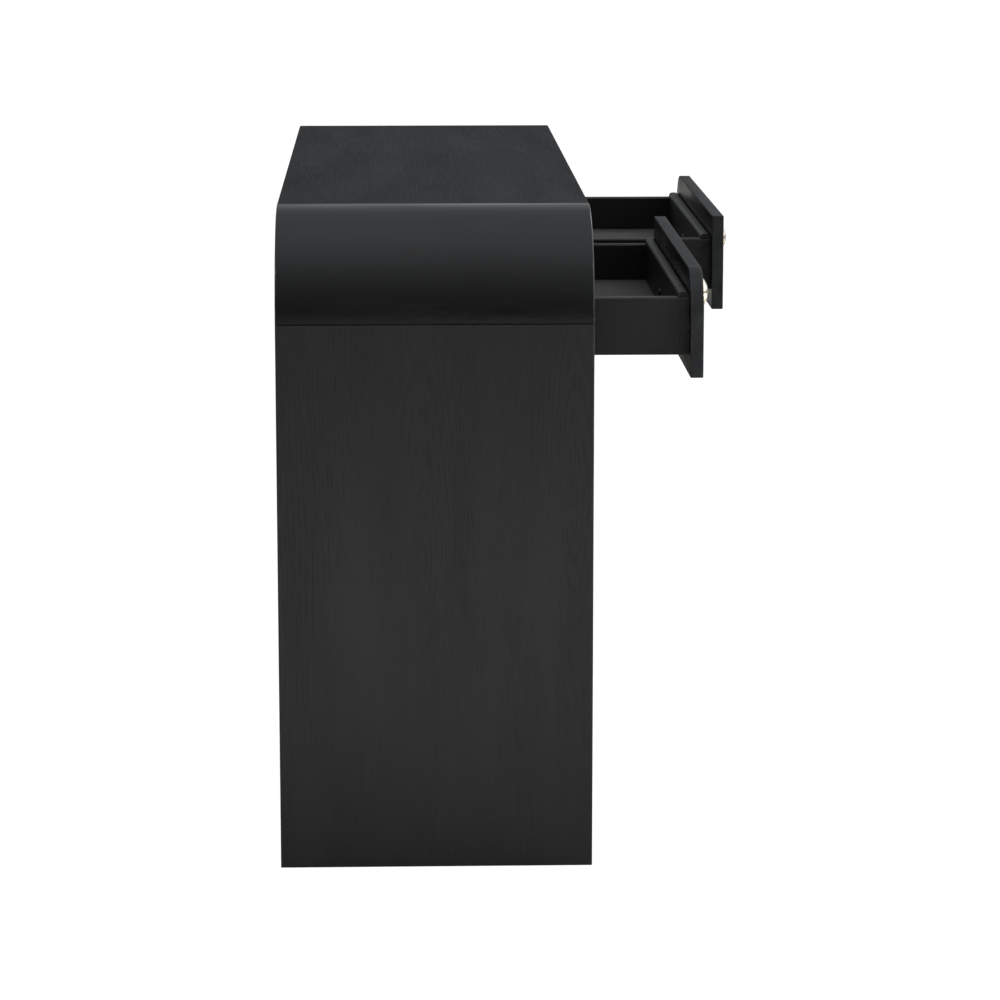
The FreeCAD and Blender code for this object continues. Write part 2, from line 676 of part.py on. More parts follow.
def knob(side):
    """Round knob turned about its axis: base, neck, flared back, rim and domed face."""
    start = knob_axis(side)
    rise = KNOB_PROJECTION - KNOB_RIM_END
    dome_radius = (KNOB_FACE_RADIUS ** 2 + rise ** 2) / (2 * rise)
    half_way = KNOB_FACE_RADIUS / 2
    half_reach = KNOB_PROJECTION - dome_radius + math.sqrt(dome_radius ** 2 - half_way ** 2)

    def at(radius, reach):
        return FreeCAD.Vector(start.x + radius, start.y - reach, start.z)

    base_edge = at(KNOB_BASE_RADIUS, KNOB_BASE_REACH)
    neck_start = at(KNOB_NECK_RADIUS, KNOB_NECK_START)
    neck_end = at(KNOB_NECK_RADIUS, KNOB_NECK_END)
    rim_start = at(KNOB_FACE_RADIUS, KNOB_RIM_START)
    rim_end = at(KNOB_FACE_RADIUS, KNOB_RIM_END)
    tip = at(0, KNOB_PROJECTION)
    cove = Part.Arc(base_edge, at(KNOB_COVE_RADIUS, KNOB_COVE_REACH), neck_start)
    flare = Part.Arc(neck_end, at(KNOB_FLARE_RADIUS, KNOB_FLARE_REACH), rim_start)
    rim = Part.Arc(rim_start, at(KNOB_RADIUS, KNOB_RIM_MIDDLE), rim_end)
    dome = Part.Arc(rim_end, at(half_way, half_reach), tip)
    curves = [Part.LineSegment(start, at(KNOB_BASE_RADIUS, 0)),
              Part.LineSegment(at(KNOB_BASE_RADIUS, 0), base_edge), cove,
              Part.LineSegment(neck_start, neck_end), flare, rim, dome,
              Part.LineSegment(tip, start)]
    wire = Part.Wire([curve.toShape() for curve in curves])
    turned = Part.Face(wire).revolve(start, BACKWARD, 360)
    bore = cylinder(KNOB_SCREW_RADIUS + BORE_CLEARANCE, start, -BACKWARD, KNOB_BORE_DEPTH)
    return Part.Solid(turned.Shells[0]).cut(bore)


def knob_screw(side):
    """Machine screw from inside the drawer, through both fronts and into the knob."""
    start = knob_axis(side)
    head = start + BACKWARD * (FRONT_THICKNESS + INNER_FRONT_THICKNESS)
    length = FRONT_THICKNESS + INNER_FRONT_THICKNESS + KNOB_SCREW_REACH
    shank = cylinder(KNOB_SCREW_RADIUS, head, -BACKWARD, length)
    pan = cylinder(KNOB_SCREW_HEAD_RADIUS, head, BACKWARD, KNOB_SCREW_HEAD_HEIGHT)
    rim = [edge for edge in pan.Edges
           if edge.BoundBox.YMin > head.y + KNOB_SCREW_HEAD_HEIGHT / 2]
    pan = pan.makeFillet(KNOB_SCREW_HEAD_EASING, rim)
    outer = head + BACKWARD * KNOB_SCREW_HEAD_HEIGHT
    recess = Part.makeCone(SCREW_RECESS_RADIUS, 0, SCREW_RECESS_DEPTH, outer, -BACKWARD)
    return fuse_all([shank, pan]).cut(recess)


def export_drawer(side, opening):
    """All the pieces of one drawer, moved out of the table by its opening."""
    low, high = box_span(side)
    pieces = {
        "front": drawer_front(side),
        "inner_front": inner_front(side),
        "left_side": box_side(side, low),
        "right_side": box_side(side, high - SIDE_THICKNESS),
        "back": box_back(side),
        "bottom": bottom_slab(side, TONGUE_LENGTH),
        "stop_tab": stop_tab(side),
        "knob": knob(side),
        "knob_screw": knob_screw(side),
        "front_screws": [wood_screw(head, -BACKWARD, FRONT_SCREW_LENGTH)
                         for head in front_screw_heads(side)],
    }
    for name, shapes in pieces.items():
        group = shapes if isinstance(shapes, list) else [shapes]
        for shape in group:
            shape.translate(BACKWARD * -opening)
        export(side + "_drawer_" + name, group)


def export_shell():
    """Top, corners and legs."""
    export("top_panel", top_panel())
    export("top_underside", top_underside())
    export("top_front_rail", top_rail(0))
    export("top_back_rail", top_rail(TABLE_DEPTH - BATTEN_WIDTH))
    export("top_ribs", top_ribs())
    left_pieces = {
        "corner": [left_corner()],
        "leg_outer_panel": [left_leg_outer_panel()],
        "leg_inner_panel": [left_leg_inner_panel()],
        "leg_front_stile": [left_leg_stile(0)],
        "leg_back_stile": [left_leg_stile(TABLE_DEPTH - BATTEN_WIDTH)],
        "leg_rails": left_leg_rails(),
    }
    for name, shapes in left_pieces.items():
        export("left_" + name, shapes)
        export("right_" + name, [mirrored(shape) for shape in shapes])
    dowels = [dowel(middle, direction) for middle, direction in dowel_places()]
    export("corner_dowels", dowels + [mirrored(pin) for pin in dowels])
    glides = [glide(place) for place in glide_places()]
    export("foot_glides", glides + [mirrored(disc) for disc in glides])


def export_bay():
    """Everything that closes the drawer bay, and what guides and stops the drawers."""
    export("bay_floor", bay_floor())
    export("back_panel", back_panel())
    export("centre_divider", centre_divider())
    for name, (x_low, x_high) in guide_spans().items():
        export(name + "_guide", drawer_guide(x_low, x_high))
        export(name + "_runner", drawer_runner(name, x_low, x_high))
    for side in ("left", "right"):
        export(side + "_kickers", kickers(side))
    export("closing_stops", closing_stops())
    export("pull_out_stops", pull_out_stops())
    export("floor_screws", [wood_screw(head, UP, FLOOR_SCREW_LENGTH)
                            for head in floor_screw_heads()])
    export("back_panel_screws", [wood_screw(head, -BACKWARD, BACK_SCREW_LENGTH)
                                 for head in back_screw_heads()])


export_shell()
export_bay()
export_drawer("left", LEFT_OPENING)
export_drawer("right", RIGHT_OPENING)
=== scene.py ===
import json
import math

import bmesh
import bpy
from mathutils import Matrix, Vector


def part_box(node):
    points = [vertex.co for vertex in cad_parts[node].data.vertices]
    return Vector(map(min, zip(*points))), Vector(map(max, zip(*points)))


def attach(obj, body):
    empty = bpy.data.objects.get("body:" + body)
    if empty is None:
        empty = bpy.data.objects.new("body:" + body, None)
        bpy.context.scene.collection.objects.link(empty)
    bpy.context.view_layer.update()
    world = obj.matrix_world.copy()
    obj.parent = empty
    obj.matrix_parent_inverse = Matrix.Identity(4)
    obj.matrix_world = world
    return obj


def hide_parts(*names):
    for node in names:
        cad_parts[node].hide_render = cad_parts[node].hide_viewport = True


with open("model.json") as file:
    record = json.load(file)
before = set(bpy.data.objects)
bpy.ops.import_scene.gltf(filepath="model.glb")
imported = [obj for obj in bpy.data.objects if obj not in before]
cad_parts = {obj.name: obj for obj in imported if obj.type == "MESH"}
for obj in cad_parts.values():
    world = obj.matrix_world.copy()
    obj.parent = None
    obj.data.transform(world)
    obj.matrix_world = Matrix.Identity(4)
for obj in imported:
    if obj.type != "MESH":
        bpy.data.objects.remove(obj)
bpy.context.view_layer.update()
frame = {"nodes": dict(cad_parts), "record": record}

MM = 0.001
NODES = frame["nodes"]
SIDES = ("left", "right")

# ---------------------------------------------------------------- shader helpers


class Graph:
    """A node tree, with short calls for the nodes that are used here."""

    def __init__(self, tree):
        self.tree = tree

    def put(self, socket, value):
        if isinstance(value, bpy.types.NodeSocket):
            self.tree.links.new(value, socket)
        else:
            socket.default_value = value

    def node(self, kind, inputs=None, **settings):
        made = self.tree.nodes.new(kind)
        for key, value in settings.items():
            setattr(made, key, value)
        for key, value in (inputs or {}).items():
            self.put(made.inputs[key], value)
        return made

    def maths(self, operation, *values):
        made = self.node("ShaderNodeMath", operation=operation)
        for index, value in enumerate(values):
            self.put(made.inputs[index], value)
        return made.outputs[0]

    def total(self, *parts):
        """Weighted sum of (value, weight) pairs."""
        result = 0.0
        for value, weight in parts:
            result = self.maths("MULTIPLY_ADD", value, weight, result)
        return result

    def remap(self, value, low, high, to_low=0.0, to_high=1.0):
        made = self.node("ShaderNodeMapRange", {"Value": value, "From Min": low, "From Max": high,
                                                "To Min": to_low, "To Max": to_high})
        return made.outputs[0]

    def mix(self, factor, first, second):
        made = self.node("ShaderNodeMix", data_type="RGBA")
        self.put(made.inputs[0], factor)
        self.put(made.inputs[6], first)
        self.put(made.inputs[7], second)
        return made.outputs[2]

    def split(self, vector):
        return self.node("ShaderNodeSeparateXYZ", {0: vector}).outputs

    def join(self, x, y=0.0, z=0.0):
        return self.node("ShaderNodeCombineXYZ", {0: x, 1: y, 2: z}).outputs[0]

    def noise(self, vector, scale, detail=2.0, roughness=0.5):
        made = self.node("ShaderNodeTexNoise", {"Vector": vector, "Scale": scale, "Detail": detail,
                                                "Roughness": roughness})
        return made.outputs["Fac"]


class Shader(Graph):
    """A material and its principled surface."""

    def __init__(self, name):
        self.material = bpy.data.materials.new(name)
        self.material.use_nodes = True
        super().__init__(self.material.node_tree)
        self.surface = self.tree.nodes["Principled BSDF"]

    def here(self):
        """The object's own coordinates, in metres."""
        return self.node("ShaderNodeTexCoord").outputs["Object"]

    def worn_edge(self, vector, strength=1.0):
        """Patchy wear mask, only on faces that are marked as eased edges; painted_wood also uses it
        for a painted highlight.
        """
        edge = self.node("ShaderNodeAttribute", attribute_name="edge").outputs["Fac"]
        patches = self.remap(self.noise(vector, 70.0, 4.0, 0.7), 0.42, 0.72, 0.05, strength)
        return self.maths("MULTIPLY", edge, patches)

    def finish(self, colour, roughness, height, depth, metallic=0.0, specular=0.5, strength=0.6):
        self.put(self.surface.inputs["Base Color"], colour)
        self.put(self.surface.inputs["Roughness"], roughness)
        self.surface.inputs["Metallic"].default_value = metallic
        self.surface.inputs["Specular IOR Level"].default_value = specular
        bump = self.node("ShaderNodeBump", {"Height": height, "Distance": depth,
                                            "Strength": strength})
        self.put(self.surface.inputs["Normal"], bump.outputs[0])
        return self.material


def grey(level, warmth=0.0):
    """Linear colour near a grey, warmer above 0 and cooler below it."""
    return (level * (1 + warmth), level, level * (1 - warmth), 1)


# ---------------------------------------------------------------- materials

AXES = {"x": (0, 1, 2), "y": (1, 0, 2), "z": (2, 0, 1)}
# How wide the pores open, which also darkens the colour: open grain and painted shade
PORE_AND_SHADE_RANGE = (0.7, 3.2)


def board_axes(shader, grain):
    """Distances along the grain and across it, on any face that holds the grain axis."""
    parts = shader.split(shader.here())
    first, second, third = AXES[grain]
    return parts[first], shader.maths("ADD", parts[second], parts[third])


def grained_black(name, grain, heart, leaf=0.19, leaf_shift=0.08, base=0.0055, warmth=-0.03,
                  specular=0.5, roughness=0.34, relief=1.0, rings=1.0, clouds=0.8, pores_and_shade_span=None):
    """Black stain over plain-sliced open-grain veneer, laid in leaves side by side. Each leaf
    has long oval rings round its heart, which turn into straight grain further along. Between
    the two distances along the grain that the last argument gives, the pores open wider and the
    colour darkens towards the upper one: open grain, and painted shade as well."""
    ring_spacing = 5.2 * MM
    oval_ratio = 0.15
    deepest = 0.055
    shader = Shader(name)
    along, across = board_axes(shader, grain)
    first, second, third = AXES[grain]
    long_way = shader.maths("SUBTRACT", along, heart[first])
    wide_way = shader.maths("SUBTRACT", across, heart[second] + heart[third])
    stretched = shader.join(shader.maths("MULTIPLY", along, oval_ratio), across)
    wander = shader.noise(stretched, 13.0, 2.0, 0.5)
    wide_way = shader.maths("MULTIPLY_ADD", shader.maths("SUBTRACT", wander, 0.5), 0.035, wide_way)
    count = shader.maths("FLOOR", shader.maths("MULTIPLY_ADD", wide_way, 1 / leaf, 0.5))
    centred = shader.maths("MULTIPLY_ADD", count, -leaf, wide_way)
    shifted = shader.maths("MULTIPLY_ADD", count, leaf_shift, long_way)
    slope = shader.maths("MULTIPLY", shifted, oval_ratio)
    bend = shader.maths("POWER", shader.maths("DIVIDE", slope, deepest), 2.0)
    depth = shader.maths("DIVIDE", slope, shader.maths("SQRT", shader.maths("ADD", bend, 1.0)))
    radius = shader.maths("SQRT", shader.total((shader.maths("POWER", centred, 2.0), 1.0),
                                               (shader.maths("POWER", depth, 2.0), 1.0)))
    ripple = shader.noise(stretched, 60.0, 2.0, 0.6)
    radius = shader.maths("MULTIPLY_ADD", ripple, 3.0 * MM, radius)
    ring = shader.maths("SINE", shader.maths("MULTIPLY", radius, 2 * math.pi / ring_spacing))
    patches = shader.remap(shader.noise(stretched, 10.0, 2.0), 0.42, 0.62, 0.1 * rings, rings)
    early = shader.maths("MULTIPLY", shader.remap(ring, -0.2, 0.95), patches)

    fine = shader.join(shader.maths("MULTIPLY", along, 0.05), across)
    coarse = shader.join(shader.maths("MULTIPLY", along, 0.09), across)
    pores = shader.remap(shader.noise(fine, 1500.0, 1.0), 0.33, 0.47)
    dashes = shader.remap(shader.noise(coarse, 420.0, 2.0, 0.6), 0.36, 0.56)
    fibres = shader.noise(fine, 230.0, 4.0, 0.65)
    cloud = shader.noise(stretched, 16.0, 3.0, 0.55)
    cut = shader.maths("MULTIPLY", shader.maths("SUBTRACT", 1.0, dashes),
                       shader.remap(early, 0.0, 1.0, 0.25, 1.0))
    # Over this span the pores open wider and the colour darkens towards its upper end: open grain,
    # and painted shade
    if pores_and_shade_span:
        pores_and_shade = shader.remap(along, *pores_and_shade_span, *PORE_AND_SHADE_RANGE)
        cut = shader.maths("MULTIPLY", cut, pores_and_shade)
    height = shader.total((cut, -0.6), (pores, 0.35), (fibres, 0.5), (early, -0.14))
    tone = shader.total((fibres, 0.8), (cloud, clouds), (cut, -0.35), (early, -0.10), (pores, 0.10))
    middle = 0.275 + clouds / 2
    shade = shader.remap(tone, middle - 0.375, middle + 0.375)
    colour = shader.mix(shade, grey(base * 0.45, warmth), grey(base * 1.7, warmth * 0.6))
    wear = shader.worn_edge(stretched, 0.6)
    colour = shader.mix(wear, colour, grey(base * 5.0, 0.05))
    rough = shader.total((shader.remap(shade, 0.0, 1.0, roughness + 0.09, roughness - 0.05), 1.0),
                         (wear, -0.12))
    return shader.finish(colour, rough, height, 0.00016 * relief, specular=specular)


def smooth_black(name, grain, base=0.0040, specular=0.5, roughness=0.165, warmth=0.0,
                 relief=1.0):
    """Smooth satin lacquer with a faint orange peel, streaks along the grain and smudges."""
    shader = Shader(name)
    here = shader.here()

    def drawn_out(share):
        squeeze = [1.0, 1.0, 1.0]
        squeeze[AXES[grain][0]] = share
        return shader.node("ShaderNodeMapping", {"Vector": here, "Scale": squeeze}).outputs[0]

    along_grain = drawn_out(0.05)
    peel = shader.noise(here, 260.0, 2.0, 0.5)
    rubbed = shader.noise(along_grain, 520.0, 3.0, 0.6)
    streaks = shader.noise(along_grain, 55.0, 4.0, 0.6)
    cloud = shader.noise(here, 9.0, 3.0, 0.5)
    waves = shader.noise(drawn_out(0.3), 20.0, 4.0, 0.6)
    smudges = shader.remap(shader.noise(drawn_out(0.15), 38.0, 3.0, 0.5), 0.42, 0.68)
    tone = shader.total((streaks, 0.6), (cloud, 0.4))
    colour = shader.mix(shader.remap(tone, 0.35, 0.65), grey(base * 0.6, warmth),
                        grey(base * 1.5, warmth - 0.03))
    wear = shader.worn_edge(along_grain, 0.5)
    colour = shader.mix(wear, colour, grey(base * 6.0, 0.05))
    rough = shader.total((shader.remap(tone, 0.35, 0.65, roughness + 0.05, roughness - 0.03), 1.0),
                         (shader.remap(rubbed, 0.3, 0.7, -0.015, 0.02), 1.0), (wear, 0.1),
                         (smudges, 0.13))
    height = shader.total((peel, 0.25), (rubbed, 0.25), (streaks, 2.2), (waves, 5.0))
    return shader.finish(colour, rough, height, 0.00010 * relief, specular=specular,
                         strength=0.7)


def painted_wood(name, grain, base=0.0060, specular=0.45, roughness=0.48, warmth=0.0,
                 wear_and_highlight=7.0):
    """Satin black paint on a planed board: the fibres still show a little. The eased edges are
    lighter and warmer: partly wear, partly a painted highlight.
    """
    shader = Shader(name)
    along, across = board_axes(shader, grain)
    fine = shader.join(shader.maths("MULTIPLY", along, 0.06), across)
    fibres = shader.noise(fine, 380.0, 3.0, 0.6)
    brush = shader.noise(fine, 120.0, 2.0, 0.5)
    cloud = shader.noise(shader.here(), 9.0, 3.0, 0.5)
    tone = shader.total((fibres, 0.5), (cloud, 0.5))
    colour = shader.mix(shader.remap(tone, 0.35, 0.65), grey(base * 0.7, warmth),
                        grey(base * 1.35, warmth))
    # Lighter, warmer eased edges: partly real wear, partly a painted highlight
    wear = shader.worn_edge(fine, 0.8)
    colour = shader.mix(wear, colour, grey(base * wear_and_highlight, 0.20))
    rough = shader.total((shader.remap(tone, 0.3, 0.7, roughness + 0.07, roughness - 0.05), 1.0),
                         (wear, 0.08))
    height = shader.total((fibres, 0.6), (brush, 0.5))
    return shader.finish(colour, rough, height, 0.00012, specular=specular)


def drawer_bottom_finish(name):
    """Matt taupe grey sheet with a fine linen mottling."""
    shader = Shader(name)
    here = shader.here()
    x, y, _ = shader.split(here)[:3]
    warp = shader.noise(shader.join(x, shader.maths("MULTIPLY", y, 0.15)), 1400.0, 1.0)
    weft = shader.noise(shader.join(shader.maths("MULTIPLY", x, 0.15), y), 1400.0, 1.0)
    linen = shader.total((warp, 0.5), (weft, 0.5))
    cloud = shader.noise(here, 14.0, 4.0, 0.6)
    tone = shader.total((linen, 0.6), (cloud, 0.4))
    colour = shader.mix(shader.remap(tone, 0.38, 0.62), (0.070, 0.068, 0.063, 1),
                        (0.122, 0.119, 0.111, 1))
    rough = shader.remap(cloud, 0.3, 0.7, 0.60, 0.74)
    return shader.finish(colour, rough, linen, 0.00010, specular=0.3)


def bare_timber(name):
    """Planed pale timber of the hidden battens and dowels."""
    shader = Shader(name)
    along, across = board_axes(shader, "y")
    fine = shader.join(shader.maths("MULTIPLY", along, 0.06), across)
    fibres = shader.noise(fine, 300.0, 3.0, 0.6)
    rings = shader.noise(fine, 60.0, 2.0, 0.5)
    tone = shader.total((fibres, 0.5), (rings, 0.5))
    colour = shader.mix(shader.remap(tone, 0.35, 0.65), (0.36, 0.23, 0.12, 1),
                        (0.58, 0.42, 0.26, 1))
    rough = shader.remap(tone, 0.3, 0.7, 0.68, 0.55)
    return shader.finish(colour, rough, fibres, 0.00012, specular=0.4)


def champagne_metal(name, centre):
    """Champagne plating with fine lines turned round the knob's axis."""
    shader = Shader(name)
    here = shader.here()
    x, y, z = shader.split(here)[:3]
    wide = shader.maths("POWER", shader.maths("SUBTRACT", x, centre.x), 2.0)
    tall = shader.maths("POWER", shader.maths("SUBTRACT", z, centre.z), 2.0)
    radius = shader.maths("SQRT", shader.maths("ADD", wide, tall))
    lines = shader.noise(shader.join(radius, y), 2600.0, 2.0, 0.6)
    smear = shader.noise(here, 110.0, 3.0, 0.6)
    colour = shader.mix(shader.remap(shader.total((smear, 0.6), (lines, 0.4)), 0.35, 0.65),
                        (0.80, 0.71, 0.58, 1), (0.93, 0.87, 0.77, 1))
    rough = shader.total((shader.remap(smear, 0.3, 0.7, 0.10, 0.19), 1.0),
                         (shader.remap(lines, 0.3, 0.7, -0.03, 0.03), 1.0))
    return shader.finish(colour, rough, lines, 0.00002, metallic=1.0, strength=0.4)


def black_zinc_steel(name):
    """Black zinc plated screws, a little cloudy."""
    shader = Shader(name)
    cloud = shader.noise(shader.here(), 500.0, 3.0, 0.6)
    colour = shader.mix(shader.remap(cloud, 0.3, 0.7), (0.045, 0.045, 0.047, 1),
                        (0.11, 0.108, 0.10, 1))
    rough = shader.remap(cloud, 0.3, 0.7, 0.34, 0.50)
    return shader.finish(colour, rough, cloud, 0.00002, metallic=1.0, strength=0.4)


def glide_plastic(name):
    """Dark moulded plastic with a fine spark-eroded skin."""
    shader = Shader(name)
    skin = shader.noise(shader.here(), 1500.0, 2.0, 0.5)
    colour = shader.mix(shader.remap(skin, 0.3, 0.7), grey(0.012), grey(0.024))
    rough = shader.remap(skin, 0.3, 0.7, 0.46, 0.62)
    return shader.finish(colour, rough, skin, 0.00005, specular=0.4)


FRONT_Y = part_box("top_panel")[0].y
BACK_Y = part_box("top_panel")[1].y
TOP_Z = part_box("top_panel")[1].z
END_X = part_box("right_leg_outer_panel")[1].x
LEAF = (BACK_Y - FRONT_Y) / 2

LOOKS = {
    "top": grained_black("top_veneer", "x", (-0.15, BACK_Y - LEAF * 0.42, TOP_Z), leaf=LEAF,
                         base=0.0113, warmth=-0.18, specular=0.12, roughness=0.68, relief=0.5,
                         rings=0.75, clouds=0.9),
    # The end panels darken towards their tops: painted shade, as well as opener grain.
    "leg_left": grained_black("left_leg_veneer", "z", (-END_X, FRONT_Y + LEAF * 0.1, 0.45),
                              leaf=LEAF, rings=1.5, clouds=1.3, pores_and_shade_span=(0.25, 0.60)),
    "leg_right": grained_black("right_leg_veneer", "z", (END_X, FRONT_Y + LEAF * 0.6, 0.30),
                               leaf=LEAF, rings=1.5, clouds=1.3, pores_and_shade_span=(0.25, 0.60)),
    "leg_inner": grained_black("inner_leg_veneer", "z", (0, FRONT_Y + LEAF * 0.4, 0.2), leaf=LEAF,
                               specular=0.35, roughness=0.52),
    "front_left": grained_black("left_front_veneer", "x", (-0.45, 0, 0.62), relief=1.4,
                                rings=1.5),
    "front_right": grained_black("right_front_veneer", "x", (0.20, 0, 0.68), relief=1.4,
                                 rings=1.5),
    "edge_x": grained_black("long_edge_veneer", "x", (0.3, 0, 1.2), relief=0.7),
    "edge_z": grained_black("upright_edge_veneer", "z", (0.3, 0, 0.1), relief=0.7),
    "lacquer": smooth_black("corner_lacquer", "y"),
    "front_edge": smooth_black("front_edge_lacquer", "x", base=0.0165, specular=0.50,
                               roughness=0.70, warmth=-0.05, relief=0.5),
    "front_back": smooth_black("front_back_lacquer", "x", specular=0.30, roughness=0.26,
                               relief=0.15),
    "box_x": painted_wood("drawer_paint_across", "x", base=0.0068),
    # Much lighter edges on the side boards' rounded tops: a painted highlight as well as wear
    "box_y": painted_wood("drawer_paint_along_highlit_edges", "y", base=0.0068, wear_and_highlight=24.0),
    "bay_x": painted_wood("bay_paint_across", "x", base=0.005, roughness=0.55),
    "bay_y": painted_wood("bay_paint_along", "y", base=0.005, roughness=0.55),
    "bottom": drawer_bottom_finish("drawer_bottom_sheet"),
    "timber": bare_timber("bare_battens"),
    "steel": black_zinc_steel("black_screws"),
    "plastic": glide_plastic("glide_skin"),
}
for side in SIDES:
    knob_low, knob_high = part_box(side + "_drawer_knob")
    LOOKS["knob_" + side] = champagne_metal(side + "_knob_plating", (knob_low + knob_high) / 2)


def dress(node, look):
    """Give a CAD node its finished material."""
    mesh = NODES[node].data
    if not mesh.materials:
        mesh.materials.append(LOOKS[look])
    for index in range(len(mesh.materials)):
        mesh.materials[index] = LOOKS[look]


# ---------------------------------------------------------------- mesh helpers

SHARP = math.radians(35)
NEARLY_FLAT = math.radians(0.5)
SQUARE_ON = 0.99
SAME_POINT = 0.001 * MM
TOUCH = 0.1 * MM
SHORTEST_EASED_EDGE = 4 * MM
BOARD_EASE = 0.6 * MM
EASE_STEPS = 6


def new_shape(source=None):
    """Empty bmesh, or a copy of a mesh, whose faces can be marked as eased edges."""
    shape = bmesh.new()
    if source:
        shape.from_mesh(source)
        bmesh.ops.remove_doubles(shape, verts=shape.verts, dist=SAME_POINT)
    shape.faces.layers.float.new("edge")
    return shape


def mark(shape, faces):
    """Mark faces as eased edges, which wear first."""
    layer = shape.faces.layers.float["edge"]
    for face in faces:
        face[layer] = 1.0


def ship(name, shape, body, node, look):
    """Turn a bmesh into a finished piece that stands for a CAD node."""
    for edge in shape.edges:
        edge.smooth = len(edge.link_faces) == 2 and edge.calc_face_angle() < SHARP
    for face in shape.faces:
        face.smooth = True
    mesh = bpy.data.meshes.new(name)
    shape.to_mesh(mesh)
    shape.free()
    mesh.materials.append(LOOKS[look])
    piece = bpy.data.objects.new(name, mesh)
    bpy.context.scene.collection.objects.link(piece)
    weighting = piece.modifiers.new("flat faces stay flat", "WEIGHTED_NORMAL")
    weighting.keep_sharp = True
    weighting.weight = 100
    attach(piece, body)
    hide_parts(node)
    return piece


def rounded(corners, steps=14):
    """Outline through corners (a, b, radius), its round corners as evenly spaced points."""
    points = []
    count = len(corners)
    for index, (a, b, radius) in enumerate(corners):
        corner = Vector((a, b))
        if radius <= 0:
            points.append(corner)
            continue
        last = (Vector(corners[index - 1][:2]) - corner).normalized()
        following = (Vector(corners[(index + 1) % count][:2]) - corner).normalized()
        half = last.angle(following) / 2
        centre = corner + (last + following).normalized() * radius / math.sin(half)
        start = corner + last * radius / math.tan(half) - centre
        end = corner + following * radius / math.tan(half) - centre
        sweep = start.angle_signed(end)
        for step in range(steps + 1):
            turn = -sweep * step / steps
            c, s = math.cos(turn), math.sin(turn)
            points.append(centre + Vector((start.x * c - start.y * s, start.x * s + start.y * c)))
    return points


def prism(outline, place, low, high):
    """Closed bmesh of an outline that is drawn in one plane and runs from low to high."""
    shape = new_shape()
    ends = [[shape.verts.new(place(p.x, p.y, level)) for p in outline] for level in (low, high)]
    shape.faces.new(ends[0])
    shape.faces.new(list(reversed(ends[1])))
    count = len(outline)
    for i in range(count):
        j = (i + 1) % count
        shape.faces.new((ends[0][j], ends[0][i], ends[1][i], ends[1][j]))
    bmesh.ops.recalc_face_normals(shape, faces=shape.faces)
    return shape


def turned(profile, centre, axis, steps):
    """Closed bmesh turned from (radius, distance) points, which run from tip to tip."""
    side_way = axis.orthogonal().normalized()
    up_way = axis.cross(side_way)
    shape = new_shape()
    rings = []
    for radius, distance in profile:
        middle = centre + axis * distance
        if radius == 0:
            rings.append([shape.verts.new(middle)])
            continue
        rings.append([])
        for k in range(steps):
            angle = 2 * math.pi * k / steps
            reach = side_way * math.cos(angle) + up_way * math.sin(angle)
            rings[-1].append(shape.verts.new(middle + reach * radius))
    for first, second in zip(rings, rings[1:]):
        for k in range(steps):
            n = (k + 1) % steps
            corners = [first[k % len(first)], first[n % len(first)],
                       second[n % len(second)], second[k % len(second)]]
            shape.faces.new(list(dict.fromkeys(corners)))
    bmesh.ops.recalc_face_normals(shape, faces=shape.faces)
    return shape


def ease(shape, width, segments=3, chosen=lambda edge: True):
    """Round the sharp edges that are chosen, and mark the new faces as worn edge."""
    sharp = [e for e in shape.edges
             if len(e.link_faces) == 2 and e.calc_face_angle() > SHARP and chosen(e)]
    made = bmesh.ops.bevel(shape, geom=sharp, offset=width, segments=segments, profile=0.5,
                           affect="EDGES", clamp_overlap=True)
    mark(shape, made["faces"])


def body_of(node):
    """Name of the body that a CAD node rides on."""
    for body, members in frame["record"]["behaviour"]["bodies"].items():
        if node in members:
            return body


def eased_copy(node, look):
    """A CAD node's own shape with its long sharp edges eased and worn."""
    shape = new_shape(NODES[node].data)
    bmesh.ops.dissolve_limit(shape, angle_limit=NEARLY_FLAT, verts=shape.verts,
                             edges=shape.edges)
    bmesh.ops.recalc_face_normals(shape, faces=shape.faces)
    ease(shape, BOARD_EASE, 2, lambda edge: edge.calc_length() > SHORTEST_EASED_EDGE)
    return ship(node + "_eased", shape, body_of(node), node, look)


# ---------------------------------------------------------------- shell

OUTER_EASE = 2.0 * MM
INNER_EASE = 1.0 * MM
SEAM_WIDTH = 1.3 * MM
SEAM_DEPTH = 3.0 * MM
SEAM_EASE = 0.4 * MM
CORNER_STEPS = 96
WIDEST_EASED_FACE = 3 * MM
SHELL = TOP_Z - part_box("top_underside")[0].z


